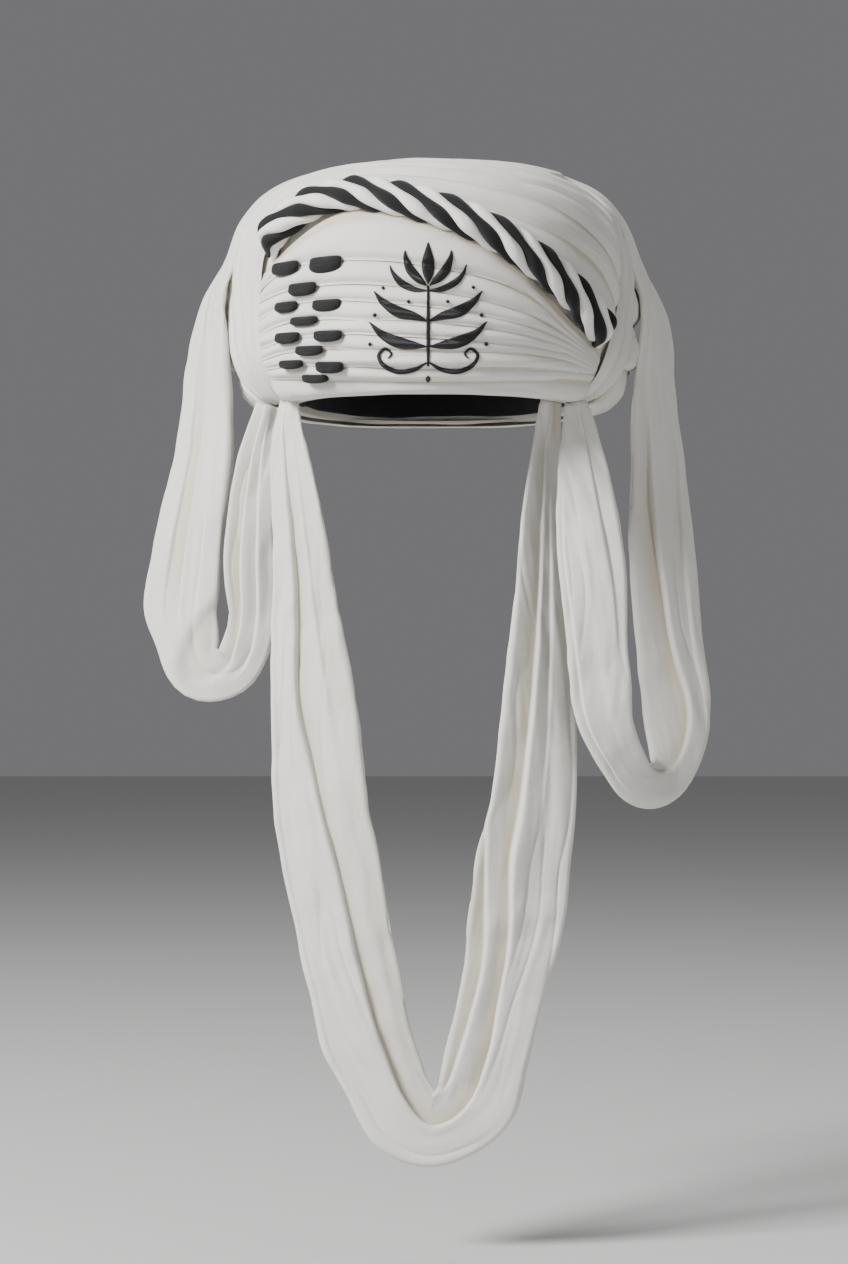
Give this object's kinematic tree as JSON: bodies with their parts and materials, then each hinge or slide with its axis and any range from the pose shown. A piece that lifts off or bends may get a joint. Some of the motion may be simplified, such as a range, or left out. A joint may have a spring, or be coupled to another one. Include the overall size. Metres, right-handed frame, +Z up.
{
  "type": "tied turban",
  "caption": "Tied cotton turban with a pleated front, a two-colour twisted braid, black woven tape, a black lining and long hanging ties.",
  "frame": {"origin": "centre of the head opening, level with the front of the rim, where a head carries the turban", "axes": "+Z up along the wearer's head, -Y towards the front, +X to the wearer's left, which is the right of the picture"},
  "size_m": [0.3335, 0.2889, 0.5923],
  "materials": {
    "white_cotton": "soft matt cotton muslin",
    "black_cloth": "matt black cotton"
  },
  "bodies": {
    "root": {"wound_core": "white_cotton", "front_pleat_1": "white_cotton", "front_pleat_2": "white_cotton", "front_pleat_3": "white_cotton", "front_pleat_4": "white_cotton", "front_pleat_5": "white_cotton", "front_pleat_6": "white_cotton", "front_pleat_7": "white_cotton", "front_pleat_8": "white_cotton", "front_pleat_9": "white_cotton", "arch_fold_1": "white_cotton", "arch_fold_2": "white_cotton", "arch_fold_3": "white_cotton", "arch_fold_4": "white_cotton", "braid_side_fold": "white_cotton", "right_side_fold_1": "white_cotton", "right_side_fold_2": "white_cotton", "back_wrap_1": "white_cotton", "back_wrap_2": "white_cotton", "back_wrap_3": "white_cotton", "back_wrap_4": "white_cotton", "back_wrap_5": "white_cotton", "back_wrap_6": "white_cotton", "crown_top_fold": "white_cotton", "top_drape": "white_cotton", "left_tail": "white_cotton", "right_tail": "white_cotton", "front_loop": "white_cotton", "braid_strand_1": "white_cotton", "braid_strand_3": "white_cotton", "braid_strand_5": "white_cotton", "inner_cap": "black_cloth", "braid_strand_2": "black_cloth", "braid_strand_4": "black_cloth", "braid_strand_6": "black_cloth", "tape_tab_1": "black_cloth", "tape_tab_2": "black_cloth", "tape_tab_3": "black_cloth", "tape_tab_4": "black_cloth", "tape_tab_5": "black_cloth", "tape_tab_6": "black_cloth", "tape_tab_7": "black_cloth", "tape_tab_8": "black_cloth", "tape_tab_9": "black_cloth", "tape_tab_10": "black_cloth", "tape_tab_11": "black_cloth", "tape_tab_12": "black_cloth"}
  },
  "joints": []
}
